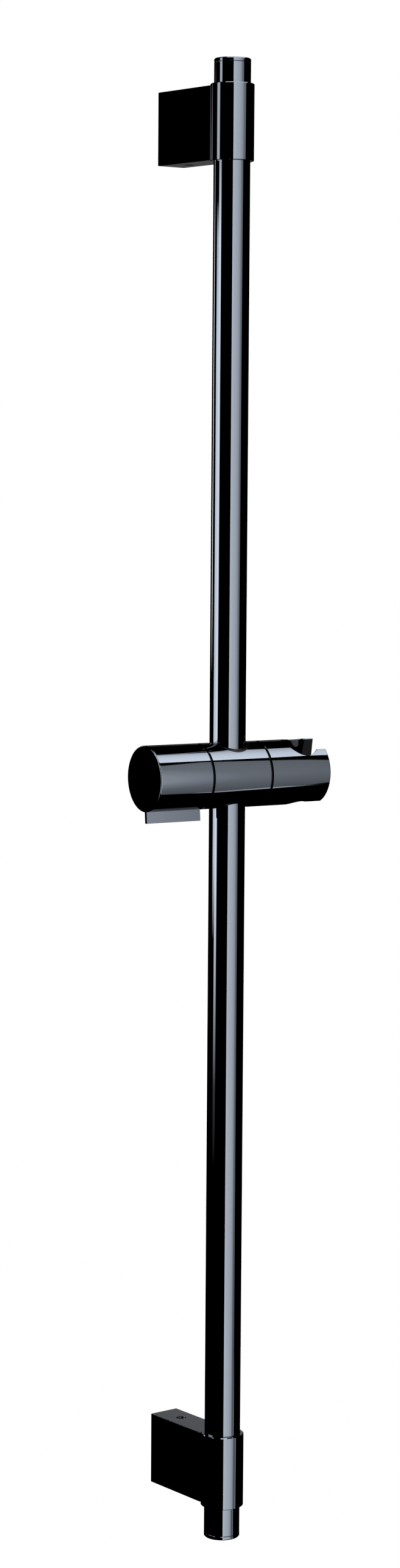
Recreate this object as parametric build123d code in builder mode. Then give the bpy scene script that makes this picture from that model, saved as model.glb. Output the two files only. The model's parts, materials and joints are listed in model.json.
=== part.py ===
from build123d import *
from math import cos, radians, sin
import os

# A wall-mounted shower slide rail: a tube on two brackets, with a sliding cross cylinder.
# The cross cylinder has a clamp knob on its left, a body on the tube and a handset holder on its right.
# The frame has +Z up along the tube, +X to the right and the wall at Y = 0, with the front towards -Y.
# Its origin is on the wall, midway between the two wall fixings.

# Tube and end caps
rail_length = 900.0         # over both end caps
tube_diameter = 22.0
tube_wall = 1.0
cap_thickness = 2.4
cap_edge = 0.6              # chamfer of the cap's rim
cap_seam = 0.25             # chamfers of the cap and the tube where they meet
plug_length = 10.0          # part of the cap inside the tube
plug_wall = 1.6
plug_clearance = 0.05
plug_lead = 0.5             # chamfer on the plug's nose

# Brackets
top_overhang = 37.5         # upper wall screw to the top of the rail
bottom_overhang = 42.5      # lower wall screw to the bottom of the rail
axis_to_wall = 60.0
block_width = 20.0
block_height = 44.0
block_front = 9.7           # tube axis to the front edge of the block
block_edge = 0.4            # rounding of the block's long edges
collar_wall = 2.15
collar_height = 45.4
collar_edge = 0.4
tube_clearance = 0.05       # collar bore, guides and wipers on the tube
pocket_side_wall = 2.5
pocket_end_wall = 6.0
pocket_depth = 30.0
pocket_corner = 2.0

# Wall plates
plate_depth = 24.0
plate_clearance = 0.2
plate_base = 6.0            # thickness left under the screw head
wall_screw_hole = 5.5
wall_screw_head = 10.5
dimple_depth = 1.2

# Grub screws of the blocks and set screws behind the tube
grub_diameter = 6.0
grub_from_wall = 18.0
grub_recess = 0.8           # below the face of the block
grub_point = 0.6            # chamfer at both ends of these screws
tube_screw_length = 12.0
hex_socket = 3.0            # across flats
hex_depth = 3.0
thread_clearance = 0.05
seat_gap = 0.1              # left between a screw's end and what it presses on

# Cross cylinder
slider_height = 20.7        # its axis above the middle of the fixings
slider_swing = 6.0          # right end towards the viewer, in degrees
slider_diameter = 40.0
body_left = 20.85           # tube axis to the body's left face
body_right = 19.4           # tube axis to the body's right face
seam = 1.1                  # gap between two sections, held open by a washer
washer_play = 0.05          # on each face of a washer
washer_diameter = 38.4
section_edge = 0.35         # chamfer at the seams
end_edge = 0.6              # rounding at the two ends
turned_edge = 0.35          # chamfer on the spindle and on the heads of the screws

# Guides and wipers in the body
bush_diameter = 27.0
bush_clearance = 0.05
waist_diameter = 25.0       # hole between the two guides
guide_shoulder = 8.2        # half the height of the waist
guide_height = 4.0
guide_play = 0.1
wiper_recess = 0.1          # wiper below the surface of the body

# Clamp
spigot_diameter = 32.6
spigot_length = 12.7
spigot_clearance = 0.05
pad_width = 13.0
pad_height = 15.0
pad_clearance = 0.1
shoe_length = 4.0
shoe_gap = 0.1              # shoe to tube when clamped
carrier_length = 9.0
carrier_edge = 0.4
shoe_peg = 5.0              # diameter of the peg on the back of the shoe
shoe_peg_length = 2.0
spindle_diameter = 8.0
pad_travel = 0.6            # how far the shoe leaves the tube when the knob is undone
collar_start = 27.0         # tube axis to the spindle's collar
spindle_collar = 17.2
spindle_collar_length = 3.0
spindle_neck = 9.0
collar_play = 0.1           # on each face of the spindle's collar
retainer_length = 3.2
drive_square = 7.0
drive_end = 43.5            # tube axis to the left end of the spindle
drive_clearance = 0.05

# Knob
knob_length = 36.35
knob_turn = 5.0             # lower edge of the fin towards the viewer, in degrees
knob_wall = 2.7
web_thickness = 3.0
web_gap = 0.2               # spindle's shoulder to the web
hub_diameter = 16.0
hub_end = 44.0              # tube axis to the left end of the hub
fin_thickness = 2.4
fin_reach = 6.7             # below the cylinder
fin_over_seam = 0.9         # fin past the knob's right face
fin_edge = 0.6
knob_cap_thickness = 2.2
knob_cap_skirt = 5.0
knob_cap_wall = 1.6
knob_cap_clearance = 0.08
knob_screw_diameter = 4.0
knob_screw_length = 9.0
knob_screw_head = 10.0
knob_screw_head_height = 2.6
knob_screw_hex_depth = 1.5
knob_screw_play = 0.05      # under the head

# Holder
holder_length = 41.7
holder_tilt = 8.6           # top of the socket towards the viewer, in degrees
socket_from_tube = 47.4     # tube axis to the socket's axis
socket_forward = 4.0        # slider axis to the socket's axis
socket_top = 22.0           # diameter at the top of the cylinder
socket_bottom = 14.9        # diameter at the bottom of the cylinder
slot_width = 14.0
mouth_edge = 0.5            # chamfer of the socket's and the slot's rims
shoulder_diameter = 7.0
shoulder_clearance = 0.05   # holder, washer and spring on the shoulder
holder_web = 9.7            # length of the holder's bore on the shoulder
holder_screw_diameter = 5.0
holder_screw_grip = 5.4     # thread in the body
holder_screw_head = 10.0
holder_screw_head_height = 4.0
holder_screw_hex = 4.0      # across flats
holder_screw_hex_depth = 2.0
holder_counterbore = 11.6
spring_thickness = 0.8
spring_play = 0.05

# Places worked out from the sizes above
tube_radius = tube_diameter / 2
tube_bore = tube_radius - tube_wall
collar_radius = tube_radius + collar_wall
slider_radius = slider_diameter / 2
fixing_spacing = rail_length - top_overhang - bottom_overhang
top_fixing = fixing_spacing / 2
bottom_fixing = -fixing_spacing / 2
rail_top = top_fixing + top_overhang
rail_bottom = rail_top - rail_length
axis_point = Vector(0, -axis_to_wall, 0)
slider_centre = Vector(0, -axis_to_wall, slider_height)
slider_direction = Vector(cos(radians(slider_swing)), -sin(radians(slider_swing)), 0)
slider_front = Vector(-sin(radians(slider_swing)), -cos(radians(slider_swing)), 0)
slider_axis = Axis(slider_centre, slider_direction)
knob_right = -body_left - seam
knob_left = knob_right - knob_length
holder_left = body_right + seam
holder_right = holder_left + holder_length
spigot_left = -body_left - spigot_length
beyond = 5.0                # how far cutting shapes run past the faces they cut
on_surface = 0.05           # how near an edge lies to the round outside to count as on it


def leaning_up(lean):
    """Upright direction of the cross cylinder, turned forward about its axis by some degrees."""
    return Vector(0, 0, 1) * cos(radians(lean)) + slider_front * sin(radians(lean))


def lengthwise(lean=0.0):
    """Plane along the cross cylinder: x is its axis, y its leaning upright, and it faces the viewer."""
    return Plane(slider_centre, x_dir=slider_direction, z_dir=slider_direction.cross(leaning_up(lean)))


def level(lean=0.0):
    """Plane through the cross cylinder's axis, facing its leaning upright, with x along the axis."""
    return Plane(slider_centre, x_dir=slider_direction, z_dir=leaning_up(lean))


def crosswise(along, lean=0.0):
    """Plane square to the cross cylinder's axis at a distance from the tube, with y the leaning upright."""
    up = leaning_up(lean)
    origin = slider_centre + slider_direction * along
    return Plane(origin, x_dir=up.cross(slider_direction), z_dir=slider_direction)


def turned(points, lean=0.0, mode=Mode.ADD):
    """Turn an outline of (distance from the tube, radius) points about the cross cylinder's axis."""
    with BuildSketch(lengthwise(lean)) as outline:
        with BuildLine():
            Polyline(*points, close=True)
        make_face()
    revolve(outline.sketch, axis=slider_axis, mode=mode)


def keep(piece, name):
    """Label a finished piece and write it."""
    piece.part.label = name
    export_step(piece.part, f"parts/{name}.step")


os.makedirs("parts", exist_ok=True)

# Rail tube
with BuildPart() as rail_tube:
    with BuildSketch(Plane(axis_point).offset(rail_bottom + cap_thickness)):
        Circle(tube_radius)
        Circle(tube_bore, mode=Mode.SUBTRACT)
    extrude(amount=rail_length - 2 * cap_thickness)
    rims = rail_tube.edges().filter_by(GeomType.CIRCLE)
    chamfer(rims.filter_by(lambda edge: edge.radius > tube_bore), cap_seam)
keep(rail_tube, "rail_tube")


def end_cap(outer_face, inward):
    """Disc flush with the tube, with a hollow plug that is pushed into the bore."""
    plug_radius = tube_bore - plug_clearance
    face = Plane(axis_point + Vector(0, 0, outer_face), z_dir=(0, 0, inward))
    with BuildPart() as cap:
        with BuildSketch(face):
            Circle(tube_radius)
        extrude(amount=cap_thickness)
        seam_rim, outer_rim = cap.edges().filter_by(GeomType.CIRCLE).sort_by(Axis.Z)[::-inward]
        chamfer(outer_rim, cap_edge)
        chamfer(seam_rim, cap_seam)
        with BuildSketch(face.offset(cap_thickness)):
            Circle(plug_radius)
            Circle(plug_radius - plug_wall, mode=Mode.SUBTRACT)
        extrude(amount=plug_length)
        nose = cap.edges().filter_by(GeomType.CIRCLE).group_by(Axis.Z)[0 if inward < 0 else -1]
        chamfer(nose.sort_by(SortBy.LENGTH)[-1], plug_lead)
    return cap


keep(end_cap(rail_top, -1), "top_end_cap")
keep(end_cap(rail_bottom, 1), "bottom_end_cap")

# Brackets: the block's pocket opens to the wall, and the set screw's bore leads from it to the tube
pocket_width = block_width - 2 * pocket_side_wall
pocket_height = block_height - 2 * pocket_end_wall


def at_wall(fixing, out=0.0):
    """Plane on the wall at one fixing, or in front of it, facing the viewer, with y up."""
    return Plane((0, -out, fixing), x_dir=(1, 0, 0), z_dir=(0, -1, 0))


def bracket(fixing, grub_side):
    """Collar and hollow block in one casting; grub_side is -1 for a hole underneath, 1 for one on top."""
    with BuildPart() as casting:
        with BuildSketch(at_wall(fixing)):
            Rectangle(block_width, block_height)
        extrude(amount=axis_to_wall - block_front)
        fillet(casting.edges().filter_by(Axis.Y), block_edge)
        with BuildSketch(Plane(axis_point).offset(fixing - collar_height / 2)):
            Circle(collar_radius)
        extrude(amount=collar_height)
        rims = casting.edges().filter_by(GeomType.CIRCLE).filter_by(lambda edge: edge.radius > tube_radius)
        chamfer(rims.group_by(Axis.Z)[0] + rims.group_by(Axis.Z)[-1], collar_edge)
        with BuildSketch(Plane(axis_point).offset(fixing)):
            Circle(tube_radius + tube_clearance)
        extrude(amount=collar_height, both=True, mode=Mode.SUBTRACT)
        with BuildSketch(at_wall(fixing)):
            RectangleRounded(pocket_width, pocket_height, pocket_corner)
        extrude(amount=pocket_depth, mode=Mode.SUBTRACT)
        with BuildSketch(at_wall(fixing)):
            Circle(grub_diameter / 2 + thread_clearance)
        extrude(amount=axis_to_wall, mode=Mode.SUBTRACT)
        with BuildSketch(Plane((0, -grub_from_wall, fixing), z_dir=(0, 0, grub_side))):
            Circle(grub_diameter / 2 + thread_clearance)
        extrude(amount=block_height, mode=Mode.SUBTRACT)
    return casting


keep(bracket(top_fixing, -1), "top_bracket")
keep(bracket(bottom_fixing, 1), "bottom_bracket")


def wall_plate(fixing):
    """Plug screwed to the wall, with a deep hole for the screw and a dimple for the grub on two sides."""
    plug_width = pocket_width - 2 * plate_clearance
    plug_height = pocket_height - 2 * plate_clearance
    with BuildPart() as plate:
        with BuildSketch(at_wall(fixing)):
            RectangleRounded(plug_width, plug_height, pocket_corner)
        extrude(amount=plate_depth)
        with BuildSketch(at_wall(fixing)):
            Circle(wall_screw_hole / 2)
        extrude(amount=plate_depth, mode=Mode.SUBTRACT)
        with BuildSketch(at_wall(fixing, plate_base)):
            Circle(wall_screw_head / 2)
        extrude(amount=plate_depth, mode=Mode.SUBTRACT)
        for side in (-1, 1):
            seat = Plane((0, -grub_from_wall, fixing + side * plug_height / 2), z_dir=(0, 0, -side))
            with BuildSketch(seat):
                Circle(grub_diameter / 2)
            extrude(amount=dimple_depth, taper=45, mode=Mode.SUBTRACT)
    return plate


keep(wall_plate(top_fixing), "top_wall_plate")
keep(wall_plate(bottom_fixing), "bottom_wall_plate")


def set_screw(head_plane, length):
    """Headless screw from its hexagon socket inwards, with a chamfered point."""
    with BuildPart() as screw:
        with BuildSketch(head_plane):
            Circle(grub_diameter / 2)
        extrude(amount=length)
        ends = screw.edges().filter_by(GeomType.CIRCLE)
        chamfer(ends, grub_point)
        with BuildSketch(head_plane):
            RegularPolygon(hex_socket / 2, 6, major_radius=False)
        extrude(amount=hex_depth, mode=Mode.SUBTRACT)
    return screw


# The grub's point stands in the dimple of the wall plate, and its socket faces out of the block
grub_length = pocket_end_wall + plate_clearance - grub_recess - seat_gap
for fixing, side, name in ((top_fixing, -1, "top_grub_screw"), (bottom_fixing, 1, "bottom_grub_screw")):
    head_height = fixing + side * (block_height / 2 - grub_recess)
    head = Plane((0, -grub_from_wall, head_height), z_dir=(0, 0, -side))
    keep(set_screw(head, grub_length), name)

for fixing, name in ((top_fixing, "top_tube_screw"), (bottom_fixing, "bottom_tube_screw")):
    tip = axis_to_wall - tube_radius - seat_gap
    keep(set_screw(at_wall(fixing, tip - tube_screw_length), tube_screw_length), name)

# Slider body: turned outside with a spigot for the knob, then bored for the tube and the clamp
with BuildPart() as slider_body:
    spigot_radius = spigot_diameter / 2
    turned([
        (spigot_left, 0),
        (spigot_left, spigot_radius - section_edge),
        (spigot_left + section_edge, spigot_radius),
        (-body_left, spigot_radius),
        (-body_left, slider_radius - section_edge),
        (-body_left + section_edge, slider_radius),
        (body_right - section_edge, slider_radius),
        (body_right, slider_radius - section_edge),
        (body_right, 0),
    ])
    with BuildSketch(level()):
        Circle(waist_diameter / 2)
    extrude(amount=slider_radius + beyond, both=True, mode=Mode.SUBTRACT)
    for side in (-1, 1):
        with BuildSketch(Plane(slider_centre + Vector(0, 0, side * guide_shoulder), z_dir=(0, 0, side))):
            Circle(bush_diameter / 2)
        extrude(amount=slider_radius, mode=Mode.SUBTRACT)
    with BuildSketch(crosswise(-collar_start)):
        Rectangle(pad_width, pad_height)
    extrude(amount=collar_start, mode=Mode.SUBTRACT)
    with BuildSketch(crosswise(spigot_left)):
        Circle(spindle_collar / 2 + drive_clearance)
    extrude(amount=-spigot_left - collar_start, mode=Mode.SUBTRACT)
    with BuildSketch(crosswise(body_right)):
        Circle(holder_screw_diameter / 2 + thread_clearance)
    extrude(amount=-body_right, mode=Mode.SUBTRACT)
keep(slider_body, "slider_body")


def ring_in_body(low, high, side, bore, outside):
    """Ring round the tube between two heights above or below the slider's axis."""
    foot = slider_centre + Vector(0, 0, side * low)
    with BuildSketch(Plane(foot, z_dir=(0, 0, side))) as section:
        Circle(outside)
        Circle(bore, mode=Mode.SUBTRACT)
    extrude(section.sketch, amount=high - low)


guide_low = guide_shoulder + guide_play
guide_high = guide_low + guide_height
wiper_low = guide_high + guide_play
bush_radius = bush_diameter / 2 - bush_clearance
bush_bore = tube_radius + tube_clearance

for side, end in ((1, "upper"), (-1, "lower")):
    with BuildPart() as guide:
        ring_in_body(guide_low, guide_high, side, bush_bore, bush_radius)
    keep(guide, f"{end}_guide")

    # The wiper's outer end follows the round outside of the body
    with BuildPart() as wiper:
        ring_in_body(wiper_low, slider_radius + beyond, side, bush_bore, bush_radius)
        wiper_radius = slider_radius - wiper_recess
        turned([(-slider_radius, 0), (-slider_radius, wiper_radius), (slider_radius, wiper_radius),
                (slider_radius, 0)], mode=Mode.INTERSECT)
    keep(wiper, f"{end}_wiper")

# Washers in the two seams
washer_radius = washer_diameter / 2
with BuildPart() as knob_washer:
    with BuildSketch(crosswise(knob_right + washer_play)):
        Circle(washer_radius)
        Circle(spigot_radius + spigot_clearance, mode=Mode.SUBTRACT)
    extrude(amount=seam - 2 * washer_play)
keep(knob_washer, "knob_washer")

shoulder_radius = shoulder_diameter / 2
with BuildPart() as holder_washer:
    with BuildSketch(crosswise(body_right + washer_play)):
        Circle(washer_radius)
        Circle(shoulder_radius + shoulder_clearance, mode=Mode.SUBTRACT)
    extrude(amount=seam - 2 * washer_play)
keep(holder_washer, "holder_washer")

# Brake shoe: hollowed to the tube, with a peg that seats in the carrier
shoe_front = tube_radius + shoe_gap
shoe_back = tube_radius + shoe_length
peg_room = shoe_peg_length + seat_gap
spindle_start = shoe_back + peg_room + pad_travel + seat_gap
with BuildPart() as brake_shoe:
    with BuildSketch(crosswise(-shoe_back)):
        Rectangle(pad_width - 2 * pad_clearance, pad_height - 2 * pad_clearance)
    extrude(amount=shoe_length)
    with BuildSketch(level()):
        Circle(shoe_front)
    extrude(amount=pad_height, both=True, mode=Mode.SUBTRACT)
    with BuildSketch(crosswise(-shoe_back)):
        Circle(shoe_peg / 2)
    extrude(amount=-shoe_peg_length)
keep(brake_shoe, "brake_shoe")

# Carrier: a block kept from turning by its pocket, bored for the spindle's thread
carrier_back = shoe_back + carrier_length
with BuildPart() as pad_carrier:
    with BuildSketch(crosswise(-carrier_back)):
        Rectangle(pad_width - 2 * pad_clearance, pad_height - 2 * pad_clearance)
    extrude(amount=carrier_length)
    fillet(pad_carrier.edges().filter_by(slider_axis), carrier_edge)
    with BuildSketch(crosswise(-carrier_back)):
        Circle(spindle_diameter / 2 + thread_clearance)
    extrude(amount=carrier_back - shoe_back - peg_room, mode=Mode.SUBTRACT)
    with BuildSketch(crosswise(-shoe_back)):
        Circle(shoe_peg / 2 + thread_clearance)
    extrude(amount=-peg_room, mode=Mode.SUBTRACT)
keep(pad_carrier, "pad_carrier")

# Spindle: thread, collar, neck and square drive, with a threaded hole for the knob's screw
collar_end = collar_start + spindle_collar_length
neck_end = collar_end + retainer_length + seam
with BuildPart() as clamp_spindle:
    thread_radius = spindle_diameter / 2
    turned([
        (-spindle_start, 0),
        (-spindle_start, thread_radius - turned_edge),
        (-spindle_start - turned_edge, thread_radius),
        (-collar_start - collar_play, thread_radius),
        (-collar_start - collar_play, spindle_collar / 2),
        (-collar_end, spindle_collar / 2),
        (-collar_end, spindle_neck / 2),
        (-neck_end, spindle_neck / 2),
        (-neck_end, 0),
    ])
    with BuildSketch(crosswise(-neck_end, -knob_turn)):
        Rectangle(drive_square, drive_square)
    extrude(amount=-(drive_end - neck_end))
    with BuildSketch(crosswise(-drive_end)):
        Circle(knob_screw_diameter / 2 + thread_clearance)
    extrude(amount=knob_screw_length, mode=Mode.SUBTRACT)
keep(clamp_spindle, "clamp_spindle")

with BuildPart() as spindle_retainer:
    with BuildSketch(crosswise(-collar_end - collar_play)):
        Circle(spindle_collar / 2)
        Circle(spindle_neck / 2 + drive_clearance, mode=Mode.SUBTRACT)
    extrude(amount=-retainer_length)
keep(spindle_retainer, "spindle_retainer")

# Knob: shell over the spigot, a web with a square hub, and a fin that also crosses the seam to the body
web_right = -neck_end - web_gap
with BuildPart() as clamp_knob:
    knob_bore = slider_radius - knob_wall
    turned([
        (knob_right, spigot_radius + spigot_clearance),
        (knob_right, slider_radius - section_edge),
        (knob_right - section_edge, slider_radius),
        (knob_left, slider_radius),
        (knob_left, knob_bore),
        (web_right - web_thickness, knob_bore),
        (web_right - web_thickness, hub_diameter / 2),
        (-hub_end, hub_diameter / 2),
        (-hub_end, 0),
        (web_right, 0),
        (web_right, spigot_radius + spigot_clearance),
    ], lean=-knob_turn)
    fin_root = slider_radius - knob_wall / 2
    fin_right = knob_right + fin_over_seam
    with BuildSketch(lengthwise(-knob_turn)):
        with BuildLine():
            Polyline(
                (knob_left, -fin_root),
                (knob_left, -slider_radius - fin_reach),
                (fin_right, -slider_radius - fin_reach),
                (fin_right, -slider_radius),
                (knob_right, -slider_radius),
                (knob_right, -fin_root),
                close=True,
            )
        make_face()
    extrude(amount=fin_thickness / 2, both=True)
    fin_foot = clamp_knob.edges().filter_by(slider_axis).group_by(Axis.Z)[0]
    fillet(fin_foot, fin_edge)
    rim = clamp_knob.edges().filter_by(GeomType.CIRCLE).filter_by(
        lambda edge: abs(edge.radius - slider_radius) < on_surface)
    fillet(rim.sort_by(slider_axis)[0], end_edge)
    with BuildSketch(crosswise(web_right, -knob_turn)):
        Rectangle(drive_square + 2 * drive_clearance, drive_square + 2 * drive_clearance)
    extrude(amount=-(hub_end + web_right), mode=Mode.SUBTRACT)
keep(clamp_knob, "clamp_knob")

with BuildPart() as knob_screw:
    head_face = -hub_end - knob_screw_head_height
    turned([
        (head_face, 0),
        (head_face, knob_screw_head / 2 - turned_edge),
        (head_face + turned_edge, knob_screw_head / 2),
        (-hub_end - knob_screw_play, knob_screw_head / 2),
        (-hub_end - knob_screw_play, knob_screw_diameter / 2),
        (-drive_end + knob_screw_length - seat_gap, knob_screw_diameter / 2),
        (-drive_end + knob_screw_length - seat_gap, 0),
    ])
    with BuildSketch(crosswise(head_face)):
        RegularPolygon(hex_socket / 2, 6, major_radius=False)
    extrude(amount=knob_screw_hex_depth, mode=Mode.SUBTRACT)
keep(knob_screw, "knob_screw")

with BuildPart() as knob_end_cap:
    cap_radius = knob_bore - knob_cap_clearance
    turned([
        (knob_left, 0),
        (knob_left, cap_radius),
        (knob_left + knob_cap_skirt, cap_radius),
        (knob_left + knob_cap_skirt, cap_radius - knob_cap_wall),
        (knob_left + knob_cap_thickness, cap_radius - knob_cap_wall),
        (knob_left + knob_cap_thickness, 0),
    ])
keep(knob_end_cap, "knob_end_cap")

# Holder: a turned block with a conical socket and a slot that lets the hose in from its free end
web_end = holder_left + holder_web


def on_mouth(edge):
    """True for an edge where the socket or the slot opens through the round outside."""
    middle = edge @ 0.5 - slider_centre
    off_axis = middle.cross(slider_direction).length
    along = middle.dot(slider_direction)
    outside = abs(off_axis - slider_radius) < on_surface
    return outside and web_end < along < holder_right - end_edge and edge.geom_type != GeomType.CIRCLE


with BuildPart() as holder:
    turned([
        (holder_left, 0),
        (holder_left, slider_radius - section_edge),
        (holder_left + section_edge, slider_radius),
        (holder_right, slider_radius),
        (holder_right, 0),
    ], lean=holder_tilt)
    fillet(holder.edges().filter_by(GeomType.CIRCLE).sort_by(slider_axis)[-1], end_edge)
    taper_gain = (socket_top - socket_bottom) / 2 / slider_diameter * beyond
    socket_plane = lengthwise(holder_tilt).offset(socket_forward)
    socket_axis = Axis(socket_plane.origin + slider_direction * socket_from_tube, leaning_up(holder_tilt))
    reach = slider_radius + beyond
    with BuildSketch(socket_plane):
        with BuildLine():
            Polyline(
                (socket_from_tube, -reach),
                (socket_from_tube + socket_bottom / 2 - taper_gain, -reach),
                (socket_from_tube + socket_top / 2 + taper_gain, reach),
                (socket_from_tube, reach),
                close=True,
            )
        make_face()
    revolve(axis=socket_axis, mode=Mode.SUBTRACT)
    slot_length = holder_right - socket_from_tube + beyond
    with BuildSketch(level(holder_tilt)):
        with Locations((socket_from_tube + slot_length / 2, -socket_forward)):
            Rectangle(slot_length, slot_width)
    extrude(amount=reach, both=True, mode=Mode.SUBTRACT)
    rims = holder.edges().filter_by(on_mouth)
    chamfer(rims, mouth_edge)
    with BuildSketch(crosswise(holder_left)):
        Circle(shoulder_radius + shoulder_clearance)
    extrude(amount=socket_from_tube - holder_left, mode=Mode.SUBTRACT)
    with BuildSketch(crosswise(web_end)):
        Circle(holder_counterbore / 2)
    extrude(amount=socket_from_tube - web_end, mode=Mode.SUBTRACT)
keep(holder, "holder")

# Shoulder screw and disc spring on which the holder tilts
with BuildPart() as holder_screw:
    head_start = web_end + spring_thickness + 2 * spring_play
    head_end = head_start + holder_screw_head_height
    turned([
        (body_right - holder_screw_grip, 0),
        (body_right - holder_screw_grip, holder_screw_diameter / 2),
        (body_right, holder_screw_diameter / 2),
        (body_right, shoulder_radius),
        (head_start, shoulder_radius),
        (head_start, holder_screw_head / 2),
        (head_end - turned_edge, holder_screw_head / 2),
        (head_end, holder_screw_head / 2 - turned_edge),
        (head_end, 0),
    ])
    with BuildSketch(crosswise(head_end)):
        RegularPolygon(holder_screw_hex / 2, 6, major_radius=False)
    extrude(amount=-holder_screw_hex_depth, mode=Mode.SUBTRACT)
keep(holder_screw, "holder_screw")

with BuildPart() as holder_spring:
    with BuildSketch(crosswise(web_end + spring_play)):
        Circle(holder_screw_head / 2)
        Circle(shoulder_radius + shoulder_clearance, mode=Mode.SUBTRACT)
    extrude(amount=spring_thickness)
keep(holder_spring, "holder_spring")
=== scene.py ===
# %% [markdown]
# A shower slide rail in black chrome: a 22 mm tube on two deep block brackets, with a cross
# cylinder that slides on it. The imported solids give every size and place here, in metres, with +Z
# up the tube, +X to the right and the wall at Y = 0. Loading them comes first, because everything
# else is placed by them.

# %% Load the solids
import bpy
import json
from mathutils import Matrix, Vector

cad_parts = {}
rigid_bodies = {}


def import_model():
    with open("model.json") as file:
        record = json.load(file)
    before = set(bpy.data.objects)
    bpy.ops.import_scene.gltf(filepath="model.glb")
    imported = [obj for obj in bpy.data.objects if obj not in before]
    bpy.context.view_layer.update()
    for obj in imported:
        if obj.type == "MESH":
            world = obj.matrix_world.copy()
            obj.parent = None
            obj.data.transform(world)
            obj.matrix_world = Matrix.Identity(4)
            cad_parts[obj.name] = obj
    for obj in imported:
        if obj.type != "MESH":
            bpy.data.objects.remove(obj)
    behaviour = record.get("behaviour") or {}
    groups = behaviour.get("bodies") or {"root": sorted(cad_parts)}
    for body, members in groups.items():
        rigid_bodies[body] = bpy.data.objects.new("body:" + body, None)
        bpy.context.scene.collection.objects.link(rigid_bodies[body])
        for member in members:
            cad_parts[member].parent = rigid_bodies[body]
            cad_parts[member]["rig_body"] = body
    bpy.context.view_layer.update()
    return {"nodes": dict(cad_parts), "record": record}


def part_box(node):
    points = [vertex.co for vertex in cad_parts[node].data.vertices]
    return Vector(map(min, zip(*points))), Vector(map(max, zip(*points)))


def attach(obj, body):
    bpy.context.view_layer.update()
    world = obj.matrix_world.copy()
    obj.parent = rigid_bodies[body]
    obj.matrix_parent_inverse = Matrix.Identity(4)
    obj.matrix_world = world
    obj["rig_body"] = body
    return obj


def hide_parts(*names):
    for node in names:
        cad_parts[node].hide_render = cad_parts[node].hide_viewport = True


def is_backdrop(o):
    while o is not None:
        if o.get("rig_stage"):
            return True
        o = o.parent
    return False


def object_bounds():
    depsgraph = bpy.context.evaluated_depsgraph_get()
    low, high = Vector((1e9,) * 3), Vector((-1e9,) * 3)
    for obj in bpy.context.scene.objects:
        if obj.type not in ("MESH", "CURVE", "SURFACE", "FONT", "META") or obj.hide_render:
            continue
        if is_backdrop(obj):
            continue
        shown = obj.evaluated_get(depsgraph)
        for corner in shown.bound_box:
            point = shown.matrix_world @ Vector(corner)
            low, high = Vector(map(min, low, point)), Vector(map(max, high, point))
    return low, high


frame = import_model()

# %% [markdown]
# The picture was taken from the left and a little above the middle, with a long lens, so that
# the rail narrows gently downwards. The camera stands about two metres off. It is turned a third
# of a degree about its own line of sight, which is what makes the tube lean in the picture. Its
# place is written as a point and two angles, rather than aimed at a target, so that the framing
# can be corrected in small steps.

# %% Camera
import math

import bpy
import numpy as np
from mathutils import Matrix, Vector

AZIMUTH, ELEVATION, ROLL = math.radians(-37.584), math.radians(5.555), math.radians(0.389)
EYE = Vector((-1.21547, -1.61222, 0.20679))
LENS, NEAREST, FARTHEST = 75.05, 0.05, 60
AXIS = Vector((0, -0.06, 0))

back = Vector((math.sin(AZIMUTH) * math.cos(ELEVATION),
               -math.cos(AZIMUTH) * math.cos(ELEVATION), math.sin(ELEVATION)))
level = Vector((math.cos(AZIMUTH), math.sin(AZIMUTH), 0))
upright = back.cross(level)
side = level * math.cos(ROLL) + upright * math.sin(ROLL)
top = back.cross(side)

camera = bpy.data.objects.new("camera", bpy.data.cameras.new("camera"))
camera.data.lens = LENS
camera.data.clip_start, camera.data.clip_end = NEAREST, FARTHEST
camera.matrix_world = Matrix.Translation(EYE) @ Matrix((side, top, back)).transposed().to_4x4()
bpy.context.scene.collection.objects.link(camera)
bpy.context.scene.camera = camera
print("camera stands", round((EYE - AXIS).length, 3), "m from the tube")

# %% [markdown]
# Colours are written as sRGB hex, the way that a designer picks them, and the renderer works in
# linear light. One function turns one into the other, and one adds a shader node with its
# settings and its links.

# %% Colour and node helpers


def linear(code):
    """Turn an sRGB hex colour to linear RGBA: under 0.04045 divide by 12.92, and elsewhere raise
    (c + 0.055) / 1.055 to the power 2.4."""
    c = np.array([int(code[i:i + 2], 16) for i in (1, 3, 5)]) / 255
    return (*np.where(c < 0.04045, c / 12.92, ((c + 0.055) / 1.055) ** 2.4).tolist(), 1.0)


def add(material, kind, links=None, **settings):
    """Add a node, set its attributes and its numbered or named inputs, and link other nodes'
    outputs to its inputs."""
    node = material.node_tree.nodes.new(kind)
    values = settings.pop("inputs", {})
    for name, value in settings.items():
        setattr(node, name, value)
    for name, value in values.items():
        node.inputs[name].default_value = value
    for name, output in (links or {}).items():
        material.node_tree.links.new(output, node.inputs[name])
    return node


def blank(name):
    """A node material with nothing in it."""
    material = bpy.data.materials.new(name)
    material.use_nodes = True
    material.node_tree.nodes.clear()
    return material


print("helpers ready")

# %% [markdown]
# Black chrome is a thin dark chromium plate over bright nickel. It is a mirror that gives back
# about a seventh of the light, a little bluer than grey. The plating follows what is under it: a
# drawn tube is straight and smooth with the faintest lines along it, and a cast or moulded part
# waves slightly over several millimetres. A waviness of microns is enough to bend a reflection,
# so the bump is tiny. Fine wear from years of wiping takes a little of the polish away in patches
# of a centimetre or two. A Bevel node could round the edges in the shader, but on a mirror it
# gives specks, so the solids' own chamfers do that.

# %% Black chrome
MM = 0.001
# The second colour is painted shade, for the holder's socket and slot.
PLATE, RECESS_SHADE = "#676d76", "#232426"
DRAWN_OUT = 0.02
WIPED_MM, POLISHED, WIPED = 14, 0.02, 0.045


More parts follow.
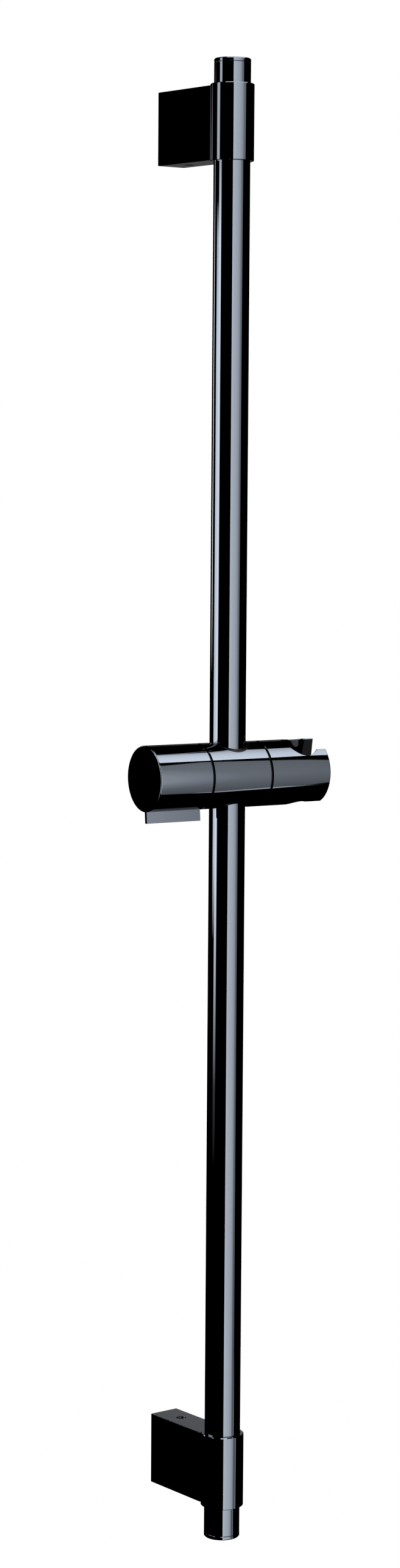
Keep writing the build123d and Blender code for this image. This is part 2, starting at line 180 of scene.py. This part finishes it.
def black_chrome(name, wave_mm, wave_height_mm, lines=False, bare=None):
    """Dark mirror with a slow waviness and fine wear. With lines, the waves are drawn out up the
    tube. bare is a function that adds a mask, 1 where the base colour is painted darker as shade in
    a recess."""
    material = blank(name)
    place = add(material, "ShaderNodeTexCoord")
    spread = add(material, "ShaderNodeMapping", {"Vector": place.outputs["Object"]},
                 inputs={"Scale": (1, 1, DRAWN_OUT) if lines else (1, 1, 1)})
    wave = add(material, "ShaderNodeTexNoise", {"Vector": spread.outputs["Vector"]},
               inputs={"Scale": 1 / (wave_mm * MM), "Detail": 1.0, "Roughness": 0.4})
    bump = add(material, "ShaderNodeBump", {"Height": wave.outputs["Fac"]},
               inputs={"Strength": 1.0, "Distance": wave_height_mm * MM})
    wipe = add(material, "ShaderNodeTexNoise", {"Vector": place.outputs["Object"]},
               inputs={"Scale": 1 / (WIPED_MM * MM), "Detail": 4.0, "Roughness": 0.6})
    rough = add(material, "ShaderNodeMapRange", {"Value": wipe.outputs["Fac"]},
                inputs={"From Min": 0.35, "From Max": 0.75, "To Min": POLISHED, "To Max": WIPED})
    shader = add(material, "ShaderNodeBsdfPrincipled",
                 {"Roughness": rough.outputs["Result"], "Normal": bump.outputs["Normal"]},
                 inputs={"Base Color": linear(PLATE), "Metallic": 1.0})
    # Where the mask is 1, the base colour is painted darker: painted shade in a recess.
    if bare:
        plate_or_painted_shade = add(material, "ShaderNodeMix", {"Factor": bare(material, place)},
                      data_type="RGBA", inputs={6: linear(PLATE), 7: linear(RECESS_SHADE)})
        material.node_tree.links.new(plate_or_painted_shade.outputs[2], shader.inputs["Base Color"])
    add(material, "ShaderNodeOutputMaterial", {"Surface": shader.outputs["BSDF"]})
    return material


chromed_tube = black_chrome("black_chrome_on_drawn_tube", 7, 0.0004, lines=True)
chromed_casting = black_chrome("black_chrome_on_zinc_casting", 9, 0.0010)
chromed_moulding = black_chrome("black_chrome_on_moulded_abs", 11, 0.0010)
print("black chrome:", chromed_tube.name, chromed_casting.name, chromed_moulding.name)

# %% [markdown]
# The holder's socket and slot, which the handset covers, get a darker base colour: painted shade in
# these recesses. A mask in the holder's own frame says where: inside the cone, or between the
# slot's two faces. The frame is turned with a Mapping node of type Texture, which undoes a place
# and a turn. It reaches a hair past the solid's faces, so that the faces themselves are inside it.

# %% The holder's painted shade inside
SLIDER = AXIS + Vector((0, 0, 0.0207))
SWING, TILT = math.radians(6), math.radians(8.6)
along = Vector((math.cos(SWING), -math.sin(SWING), 0))
ahead = Vector((-math.sin(SWING), -math.cos(SWING), 0))
SOCKET_ALONG, SOCKET_AHEAD = 47.4 * MM, 4.0 * MM
SOCKET_TOP, SOCKET_BOTTOM, SLOT, CYLINDER = 22.0 * MM, 14.9 * MM, 14.0 * MM, 40.0 * MM
HAIR = 0.06 * MM


def painted_socket_shade(material, place):
    """Mask of the painted shade: 1 where the distance from the cone's axis is under its radius at
    that height, or between the slot's faces."""
    lean = Vector((0, 0, 1)) * math.cos(TILT) + ahead * math.sin(TILT)
    rear = lean.cross(along)
    origin = SLIDER + along * SOCKET_ALONG - rear * SOCKET_AHEAD
    turn = Matrix((along, rear, lean)).transposed().to_euler()
    own = add(material, "ShaderNodeMapping", {"Vector": place.outputs["Object"]},
              vector_type="TEXTURE", inputs={"Location": origin, "Rotation": turn})
    split = add(material, "ShaderNodeSeparateXYZ", {"Vector": own.outputs["Vector"]})
    flat = add(material, "ShaderNodeCombineXYZ", {"X": split.outputs["X"], "Y": split.outputs["Y"]})
    away = add(material, "ShaderNodeVectorMath", {0: flat.outputs["Vector"]}, operation="LENGTH")
    widening, middle = (SOCKET_TOP - SOCKET_BOTTOM) / 2 / CYLINDER, (SOCKET_TOP + SOCKET_BOTTOM) / 4
    radius = add(material, "ShaderNodeMath", {0: split.outputs["Z"]}, operation="MULTIPLY_ADD",
                 inputs={1: widening, 2: middle + HAIR})
    cone = add(material, "ShaderNodeMath",
               {0: away.outputs["Value"], 1: radius.outputs["Value"]}, operation="LESS_THAN")
    apart = add(material, "ShaderNodeMath", {0: split.outputs["Y"]}, operation="ABSOLUTE")
    between = add(material, "ShaderNodeMath", {0: apart.outputs["Value"]}, operation="LESS_THAN",
                  inputs={1: SLOT / 2 + HAIR})
    beyond = add(material, "ShaderNodeMath", {0: split.outputs["X"]}, operation="GREATER_THAN",
                 inputs={1: 0.0})
    slot = add(material, "ShaderNodeMath",
               {0: between.outputs["Value"], 1: beyond.outputs["Value"]}, operation="MULTIPLY")
    either = add(material, "ShaderNodeMath",
                 {0: cone.outputs["Value"], 1: slot.outputs["Value"]}, operation="MAXIMUM")
    return either.outputs["Value"]


# The holder's chrome has painted shade in its socket and slot.
holder_chrome_painted_shade = black_chrome("black_chrome_on_moulded_holder_painted_shade", 11, 0.0010, bare=painted_socket_shade)
print("holder:", holder_chrome_painted_shade.name)

# %% [markdown]
# The rings between the slider and the tube are acetal, a slippery plastic that is moulded and left
# bare. The mould's spark-eroded face leaves a grain of about a fifth of a millimetre, which kills
# the mirror and leaves a soft black.

# %% Acetal
ACETAL, SPARK_MM = "#08080a", 0.2


def acetal(name):
    """Moulded plastic: near-black satin, with a fine grain that scatters most of its gloss."""
    material = blank(name)
    place = add(material, "ShaderNodeTexCoord")
    grain = add(material, "ShaderNodeTexNoise", {"Vector": place.outputs["Object"]},
                inputs={"Scale": 1 / (SPARK_MM * MM), "Detail": 2.0})
    bump = add(material, "ShaderNodeBump", {"Height": grain.outputs["Fac"]},
               inputs={"Strength": 0.6, "Distance": 0.01 * MM})
    rough = add(material, "ShaderNodeMapRange", {"Value": grain.outputs["Fac"]},
                inputs={"To Min": 0.18, "To Max": 0.28})
    shader = add(material, "ShaderNodeBsdfPrincipled",
                 {"Roughness": rough.outputs["Result"], "Normal": bump.outputs["Normal"]},
                 inputs={"Base Color": linear(ACETAL), "IOR": 1.48, "Specular IOR Level": 0.12})
    add(material, "ShaderNodeOutputMaterial", {"Surface": shader.outputs["BSDF"]})
    return material


black_acetal = acetal("moulded_black_acetal")
print("plastic:", black_acetal.name)

# %% [markdown]
# Inside are bare metals: zinc as it leaves the die, with grey clouds and a fine orange peel;
# stainless steel and brass turned on a lathe, whose feed leaves fine marks. The marks here are
# 0.3 mm apart, coarser than real ones, so that they show.

# %% Bare metals


def bare_metal(name, colour, cloud, cloud_mm, grain_mm, grain_height_mm, rough_low, rough_high):
    """Metal whose colour drifts between two tones over cloud_mm, with a grain of grain_mm in its
    bump and roughness."""
    material = blank(name)
    place = add(material, "ShaderNodeTexCoord")
    drift = add(material, "ShaderNodeTexNoise", {"Vector": place.outputs["Object"]},
                inputs={"Scale": 1 / (cloud_mm * MM), "Detail": 3.0})
    tone = add(material, "ShaderNodeMix", {"Factor": drift.outputs["Fac"]}, data_type="RGBA",
               inputs={6: linear(colour), 7: linear(cloud)})
    grain = add(material, "ShaderNodeTexNoise", {"Vector": place.outputs["Object"]},
                inputs={"Scale": 1 / (grain_mm * MM), "Detail": 2.0})
    bump = add(material, "ShaderNodeBump", {"Height": grain.outputs["Fac"]},
               inputs={"Strength": 0.7, "Distance": grain_height_mm * MM})
    rough = add(material, "ShaderNodeMapRange", {"Value": grain.outputs["Fac"]},
                inputs={"To Min": rough_low, "To Max": rough_high})
    shader = add(material, "ShaderNodeBsdfPrincipled",
                 {"Base Color": tone.outputs[2], "Roughness": rough.outputs["Result"],
                  "Normal": bump.outputs["Normal"]}, inputs={"Metallic": 1.0})
    add(material, "ShaderNodeOutputMaterial", {"Surface": shader.outputs["BSDF"]})
    return material


zinc = bare_metal("die_cast_zinc", "#a3a4a8", "#8c8e93", 6, 0.5, 0.01, 0.38, 0.55)
stainless = bare_metal("turned_stainless_steel", "#b9b9ba", "#a6a7aa", 3, 0.3, 0.004, 0.22, 0.34)
brass = bare_metal("turned_brass", "#d8b267", "#c39a4f", 3, 0.3, 0.004, 0.22, 0.34)
print("bare metals:", zinc.name, stainless.name, brass.name)

# %% [markdown]
# Each solid gets the material of the thing that it is. The record says which finish each node has,
# so the finish names there choose the materials here, and no node is missed.

# %% Dress the solids
finish_of = {
    "black_chromed_tube": chromed_tube,
    "black_chromed_casting": chromed_casting,
    "black_chromed_abs": chromed_moulding,
    "black_acetal": black_acetal,
    "zinc_plate_casting": zinc,
    "stainless_screw": stainless,
    "turned_brass": brass,
}
slot_of = {row["node"]: row["material_slot"] for row in frame["record"]["subparts"]}
for name, node in frame["nodes"].items():
    for place in node.material_slots:
        place.material = holder_chrome_painted_shade if name == "holder" else finish_of[slot_of[name]]
print("dressed", len(frame["nodes"]), "solids")

# %% [markdown]
# The six screws are the only machined threads here, and each is a hexagon socket screw: two grubs
# that hold the blocks to their wall plates, two set screws behind the tube, the knob's screw, and
# the shoulder screw that the holder tilts on. The solids leave their threads out, because a thread
# is many small faces that carry no load in a simulation.
# Blender has a screw modifier, which winds a profile but leaves its ends open. Here the whole screw
# is one closed surface: rings round an axis, whose radius falls into a groove that moves on by one
# pitch for each turn.

# %% A threaded screw
AROUND, RINGS_A_PITCH = 72, 12
GROOVE_DEPTH, GROOVE_SIDE = 0.61, 2.7
RUN_OUT = 0.5


def threaded_screw(node, head, way, outline, socket, thread, tail):
    """Closed surface of rings. A ring at distance s from the head has the radius of the outline
    there, or of the socket's hexagon, apothem / cos(angle from the nearest flat). Between the
    thread's start and end, the radius is the crest's less a groove: a trapezium in the fraction of
    s / pitch - angle / turn, as deep as 0.61 pitch, which runs out over the last half pitch."""
    turn = np.linspace(0, 2 * np.pi, AROUND, endpoint=False)
    flat = (turn + np.pi / 6) % (np.pi / 3) - np.pi / 6
    across_flats, depth = socket
    hexagon = across_flats / 2 / np.cos(flat)
    start, end, crest, pitch = thread
    wound = np.linspace(start, end, int((end - start) / pitch * RINGS_A_PITCH) + 1)
    phase = (wound[:, None] / pitch - turn / (2 * np.pi)) % 1
    trapezium = np.clip(GROOVE_SIDE * (0.5 - np.abs(phase - 0.5)), 0, 1)
    run_out = np.clip(np.minimum(wound - start, end - wound) / (RUN_OUT * pitch), 0, 1)
    winding = crest - GROOVE_DEPTH * pitch * trapezium * run_out[:, None]
    plain = [np.full(AROUND, radius) for _, radius in outline]
    ending = [np.full(AROUND, radius) for _, radius in tail]
    radii = np.vstack([hexagon, hexagon] + plain + [winding] + ending) * MM
    places = ([depth, 0.0] + [place for place, _ in outline] + wound.tolist()
              + [place for place, _ in tail])
    stations = np.array(places)[:, None] * MM
    way = np.array(way, float)
    sideways = np.cross(way, (0, 0, 1) if abs(way[2]) < 0.5 else (0, 1, 0))
    sideways /= np.linalg.norm(sideways)
    across = np.cross(way, sideways)
    spokes = np.cos(turn)[:, None] * sideways + np.sin(turn)[:, None] * across
    points = np.array(head) + stations[..., None] * way + radii[..., None] * spokes
    poles = np.array(head) + way * np.array([[depth * MM], [places[-1] * MM]])
    rows = len(points)
    first = np.arange(rows * AROUND).reshape(rows, AROUND)
    beside = np.roll(first, -1, 1)
    walls = np.stack([first[:-1], beside[:-1], beside[1:], first[1:]], -1).reshape(-1, 4)
    floor_fan = np.stack([np.full(AROUND, rows * AROUND), beside[0], first[0]], -1)
    point_fan = np.stack([np.full(AROUND, rows * AROUND + 1), first[-1], beside[-1]], -1)
    mesh = bpy.data.meshes.new(f"threaded_{node}")
    mesh.from_pydata(np.vstack([points.reshape(-1, 3), poles]), [],
                     walls.tolist() + floor_fan.tolist() + point_fan.tolist())
    screw = bpy.data.objects.new(f"threaded_{node}", mesh)
    bpy.context.scene.collection.objects.link(screw)
    mesh.materials.append(stainless)
    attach(screw, frame["nodes"][node]["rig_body"])
    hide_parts(node)
    return screw


print("a thread has", RINGS_A_PITCH, "rings a pitch")

# %% [markdown]
# Four of them are M6 set screws, threaded from end to end. Each lies in the box of its solid, which
# gives its place and length. A grub's socket faces out of its block, and a tube screw's faces the
# wall. Sizes are in millimetres.

# %% Set screws
SET_RADIUS, SET_PITCH, SET_SOCKET, POINT = 3.0, 1.0, (3.0, 3.0), 0.6


def set_screw(node, head, way, length):
    """A thread along the whole length, between two ends that are a point's height smaller."""
    end = SET_RADIUS - POINT
    return threaded_screw(node, head, way, [(0, end)], SET_SOCKET,
                          (POINT, length - POINT, SET_RADIUS, SET_PITCH), [(length, end)])


screws = []
for node, upwards in (("top_grub_screw", 1), ("bottom_grub_screw", -1)):
    low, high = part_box(node)
    middle = (low + high) / 2
    head = (middle.x, middle.y, low.z if upwards > 0 else high.z)
    screws.append(set_screw(node, head, (0, 0, upwards), (high.z - low.z) / MM))
for node in ("top_tube_screw", "bottom_tube_screw"):
    low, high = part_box(node)
    middle = (low + high) / 2
    head = (middle.x, high.y, middle.z)
    screws.append(set_screw(node, head, (0, -1, 0), (high.y - low.y) / MM))
print("set screws:", len(screws))

# %% [markdown]
# The other two lie on the cross cylinder's axis and have 10 mm heads with a broken edge. The
# holder's is an M5 shoulder screw: the holder turns on its plain shoulder, and only the thinner end
# past it is threaded. The knob's is a plain M4 screw with a low head. An outline is a list of
# distances from the top of the head and radii.

# %% Screws with heads
HEAD, EDGE = 5.0, 0.35
HOLDER_TOP, HOLDER_HEAD, SHOULDER, SHOULDER_END = 35.1 * MM, 4.0, 3.5, 15.7
KNOB_TOP, KNOB_HEAD, KNOB_SHANK = -46.6 * MM, 2.55, 2.0
crown = [(0, HEAD - EDGE), (EDGE, HEAD)]

screws.append(threaded_screw(
    "holder_screw", SLIDER + along * HOLDER_TOP, -along,
    crown + [(HOLDER_HEAD, HEAD), (HOLDER_HEAD, SHOULDER), (SHOULDER_END, SHOULDER)],
    socket=(4.0, 2.0), thread=(SHOULDER_END, 20.7, 2.5, 0.8), tail=[(21.1, 2.1)]))
screws.append(threaded_screw(
    "knob_screw", SLIDER + along * KNOB_TOP, along,
    crown + [(KNOB_HEAD, HEAD), (KNOB_HEAD, KNOB_SHANK)],
    socket=(3.0, 1.5), thread=(KNOB_HEAD, 11.6, KNOB_SHANK, 0.7), tail=[(12.0, 1.6)]))
print("screws:", len(screws), "with", sum(len(screw.data.polygons) for screw in screws), "faces")

# %% [markdown]
# A mirror shows the room, so the room is what gives black chrome its look. A photographer stands
# black cloth all round it and lets in a few tall bands of light. The cloth and the lit screens here
# are parts of cylinders round the tube, because a band of light at one bearing then shows as a band
# of one width all along the tube. Bearings are turned about the tube from the front, as the
# camera's is.

# %% Screens
FLOOR, CEILING = -0.80, 1.5
CLOTH_RADIUS, SCREEN_RADIUS = 0.86, 0.85
COLUMNS, ROWS = 49, 33
WAIST_HEIGHT, MAT_LIFT = 0.65, 0.002


def grid_mesh(name, points, across, rise):
    """Mesh of an open grid of points, with its two parameters kept as a UV map."""
    columns, rows = points.shape[:2]
    first = (np.arange(columns - 1)[:, None] * rows + np.arange(rows - 1)).ravel()
    faces = np.stack([first, first + rows, first + rows + 1, first + 1], 1)
    mesh = bpy.data.meshes.new(name)
    mesh.from_pydata(points.reshape(-1, 3), [], faces)
    uv = np.stack([across.ravel(), rise.ravel()], 1)[faces.ravel()]
    mesh.uv_layers.new(name="UVMap").data.foreach_set("uv", uv.astype(np.float32).ravel())
    mesh.polygons.foreach_set("use_smooth", np.ones(len(faces), bool))
    piece = bpy.data.objects.new(name, mesh)
    bpy.context.scene.collection.objects.link(piece)
    return piece


def screen_mesh(name, left, right, low, high, radius, slope=0.0, waist=0.0):
    """Part of a cylinder about the tube: x = r sin(a), y = -0.06 - r cos(a), for bearings a
    between left and right. Its top falls by slope from right to left. Its right edge is drawn in
    by waist degrees at height 0, and by less as the square of the height grows."""
    across, rise = np.meshgrid(np.linspace(0, 1, COLUMNS), np.linspace(0, 1, ROWS), indexing="ij")
    up = low + (high - low - slope * (1 - across)) * rise
    edge = right - waist * np.clip(1 - (up / WAIST_HEIGHT) ** 2, 0, 1)
    bearing = np.radians(left + (edge - left) * across)
    points = np.stack([radius * np.sin(bearing), AXIS.y - radius * np.cos(bearing), up], -1)
    return grid_mesh(name, points, across, rise)


def studio(piece, material):
    """Studio gear stands between the camera and the rail in some views, so only mirrors see it."""
    piece.data.materials.append(material)
    piece.visible_camera = piece.visible_diffuse = piece.visible_shadow = False
    piece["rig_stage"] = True


print("screens at", SCREEN_RADIUS, "m, cloth at", CLOTH_RADIUS, "m")

# %% [markdown]
# The cloth is a ring round everything, with a mat under it and a ceiling over it. It is quite
# black, so that only the lit screens show in the chrome.

# %% Black cloth
black_cloth = blank("black_cloth")
dull = add(black_cloth, "ShaderNodeBsdfDiffuse", inputs={"Color": (0, 0, 0, 1)})
add(black_cloth, "ShaderNodeOutputMaterial", {"Surface": dull.outputs["BSDF"]})
studio(screen_mesh("black_surround", -180, 180, FLOOR, CEILING, CLOTH_RADIUS), black_cloth)
for name, height in (("black_mat", FLOOR + MAT_LIFT), ("black_ceiling", CEILING)):
    ring, turn = np.meshgrid(np.linspace(0, CLOTH_RADIUS, 9), np.linspace(0, 2 * np.pi, 65),
                             indexing="ij")
    disc = np.stack([ring * np.cos(turn), AXIS.y + ring * np.sin(turn),
                     np.full_like(ring, height)], -1)
    studio(grid_mesh(name, disc, ring, turn), black_cloth)
print("black cloth at", CLOTH_RADIUS, "m")

# %% [markdown]
# The light of a screen changes across it and up it, as it does on real cloth with lamps behind.
# Lamps could do this only roughly, so each screen glows by two colour ramps over its UV map, one
# for each way, which are multiplied.

# %% Glowing cloth


def glow(name, across, rise):
    """Lit cloth. Across lists (place, radiance) and rise lists (place, share): their product,
    straight between stops."""
    material = blank(name)
    place = add(material, "ShaderNodeUVMap", uv_map="UVMap")
    split = add(material, "ShaderNodeSeparateXYZ", {"Vector": place.outputs["UV"]})
    strength = max(level for _, level in across)
    profiles = []
    for output, stops, full in (("X", across, strength), ("Y", rise, 1)):
        ramp = add(material, "ShaderNodeValToRGB", {"Fac": split.outputs[output]})
        ramp.color_ramp.elements.remove(ramp.color_ramp.elements[1])
        start, end = stops[0][0], stops[-1][0]
        for number, (where, level) in enumerate(stops):
            share = (where - start) / (end - start)
            stop = (ramp.color_ramp.elements.new(share) if number
                    else ramp.color_ramp.elements[0])
            stop.position, stop.color = share, (level / full,) * 3 + (1,)
        profiles.append(ramp.outputs["Color"])
    both = add(material, "ShaderNodeMath", {0: profiles[0], 1: profiles[1]}, operation="MULTIPLY")
    level = add(material, "ShaderNodeMath", {0: both.outputs["Value"]}, operation="MULTIPLY",
                inputs={1: strength})
    light = add(material, "ShaderNodeEmission", {"Strength": level.outputs["Value"]},
                inputs={"Color": (1, 1, 1, 1)})
    add(material, "ShaderNodeOutputMaterial", {"Surface": light.outputs["Emission"]})
    return material


print("cloth can glow")

# %% [markdown]
# The lit screens do the work. Each has its bearings in degrees with their radiance, and its heights
# in metres with their share of it. The main one, right of the camera, gives the grey band down the
# tube. The side screen next to it is dimmer and gives the broad middle band of the cross cylinder.
# Its top edge slopes, which sets how wide the dark line above that band is at either end. Its right
# edge is drawn in at mid height, where the tube's band has to end sooner. The rim screen, low on
# its right, gives the thin light line under the middle band.
# Far to the left, a narrow bright strip gives the light line on the left of the tube. A second one
# beside it, at mid height only, widens that line there, and a third, almost behind the rail, gives
# a thin line at the tube's left edge. The two cards light the flat faces of the blocks, under the
# top one and on the bottom one.

# %% Lit screens
SCREENS = {
    "main_screen": ([(-31, 2.9), (-14, 2.5), (2, 2.3), (18, 1.7), (22, 1.4)],
                    [(FLOOR, 1), (0.95, 1)]),
    "side_screen": ([(22, 1.35), (27, 0.9), (39, 0.72)],
                    [(FLOOR, 0.55), (-0.3, 0.8), (0.1, 1), (0.88, 1)]),
    "rim_screen": ([(37.0, 2.0), (39.2, 2.0)], [(FLOOR, 0.8), (-0.62, 1), (-0.56, 0)]),
    "strip_screen": ([(-123, 0), (-121, 4.2), (-110, 4.4), (-105.5, 3.2), (-104, 0)],
                     [(-0.40, 0), (-0.33, 0.05), (-0.15, 1), (0.40, 1), (0.46, 0.58), (1.1, 0.5)]),
    "wide_strip": ([(-139, 3.0), (-122, 4.4)],
                   [(-0.20, 0), (-0.13, 0.9), (0.30, 1), (0.40, 0.7), (0.43, 0)]),
    "far_strip": ([(-170, 3.2), (-163, 3.2)],
                  [(0.03, 0), (0.08, 1), (0.34, 1), (0.45, 0.45), (0.55, 0)]),
    "upper_card": ([(134, 0.14), (150, 0.10)], [(0.22, 1), (0.40, 0.6)]),
    "lower_card": ([(134, 0.36), (150, 0.26)], [(-0.22, 1), (-0.05, 0.8)]),
}
SIDE_SLOPE, SIDE_WAIST, RIM_NEARER = 0.28, 4.5, 0.01

for name, (bearings, heights) in SCREENS.items():
    reach = (bearings[0][0], bearings[-1][0], heights[0][0], heights[-1][0])
    radius = SCREEN_RADIUS - (RIM_NEARER if name == "rim_screen" else 0)
    fall, waist = (SIDE_SLOPE, SIDE_WAIST) if name == "side_screen" else (0, 0)
    studio(screen_mesh(name, *reach, radius, fall, waist), glow(name, bearings, heights))
print("lit screens:", len(SCREENS))

# %% [markdown]
# One flat screen hangs overhead, in line with the cross cylinder, and gives the bright band along
# its shoulder. It is dimmer at its right end and along its rear edge, which shades the band.

# %% Overhead screen
OVERHEAD = 0.82
ALONG_STOPS = [(-0.3, 4.4), (0.46, 4.2), (1.6, 2.6)]
AHEAD_STOPS = [(-0.12, 0.5), (0.17, 0.85), (0.46, 1)]

sides = [np.linspace(stops[0][0], stops[-1][0], 9) for stops in (ALONG_STOPS, AHEAD_STOPS)]
width, depth = np.meshgrid(*sides, indexing="ij")
across, rise = np.meshgrid(np.linspace(0, 1, 9), np.linspace(0, 1, 9), indexing="ij")
points = (np.array(AXIS) + (0, 0, OVERHEAD) + width[..., None] * np.array(along)
          + depth[..., None] * np.array(ahead))
overhead = grid_mesh("overhead_screen", points, across, rise)
studio(overhead, glow("overhead_screen", ALONG_STOPS, AHEAD_STOPS))
print("overhead screen", OVERHEAD, "m above the rail's middle")

# %% [markdown]
# The floor and the room are white. Their colour makes them so, seen straight or in a mirror, and
# not more light on the rail. The floor lets a fifth of its white come from the light that falls on
# it, so that a shadow still shows there.

# %% Floor and room
FLOOR_REACH, FLOOR_OWN, FLOOR_LIT = 30, 0.82, 0.2
DAYLIGHT, WHITE = 0.9, 1.0


def mirror_or_eye(material):
    """1 for a ray straight from the camera, off a mirror or through glass, and 0 for light that
    falls on things."""
    seen = add(material, "ShaderNodeLightPath")
    direct = add(material, "ShaderNodeMath",
                 {0: seen.outputs["Is Camera Ray"], 1: seen.outputs["Is Glossy Ray"]},
                 operation="MAXIMUM")
    clear = add(material, "ShaderNodeMath",
                {0: direct.outputs["Value"], 1: seen.outputs["Is Transmission Ray"]},
                operation="MAXIMUM")
    return clear.outputs["Value"]


lattice = np.meshgrid(np.linspace(-1, 1, 3), np.linspace(-1, 1, 3), indexing="ij")
spot = np.stack([lattice[0] * FLOOR_REACH, lattice[1] * FLOOR_REACH,
                 np.full_like(lattice[0], FLOOR)], -1)
floor = grid_mesh("floor", spot, *lattice)
pale = blank("pale_floor")
share = add(pale, "ShaderNodeMath", {0: mirror_or_eye(pale)}, operation="MULTIPLY",
            inputs={1: FLOOR_OWN})
own = add(pale, "ShaderNodeEmission", {"Strength": share.outputs["Value"]},
          inputs={"Color": (1, 1, 1, 1)})
lit = add(pale, "ShaderNodeBsdfDiffuse", inputs={"Color": (FLOOR_LIT, FLOOR_LIT, FLOOR_LIT, 1)})
total = add(pale, "ShaderNodeAddShader", {0: own.outputs["Emission"], 1: lit.outputs["BSDF"]})
add(pale, "ShaderNodeOutputMaterial", {"Surface": total.outputs["Shader"]})
floor.data.materials.append(pale)
floor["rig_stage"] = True

world = bpy.data.worlds.new("room")
world.use_nodes = True
bpy.context.scene.world = world
world.node_tree.nodes.clear()
power = add(world, "ShaderNodeMapRange", {"Value": mirror_or_eye(world)},
            inputs={"To Min": DAYLIGHT, "To Max": WHITE})
sky = add(world, "ShaderNodeBackground", {"Strength": power.outputs["Result"]},
          inputs={"Color": (1, 1, 1, 1)})
add(world, "ShaderNodeOutputWorld", {"Surface": sky.outputs["Background"]})
bpy.context.scene.view_settings.view_transform = "Standard"
print("floor at", FLOOR, "m")

# %% [markdown]
# Last, the size of what is shown is printed.

# %% Sizes and finish
import json

low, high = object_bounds()
print("shown box", [round(v, 4) for v in low], [round(v, 4) for v in high])
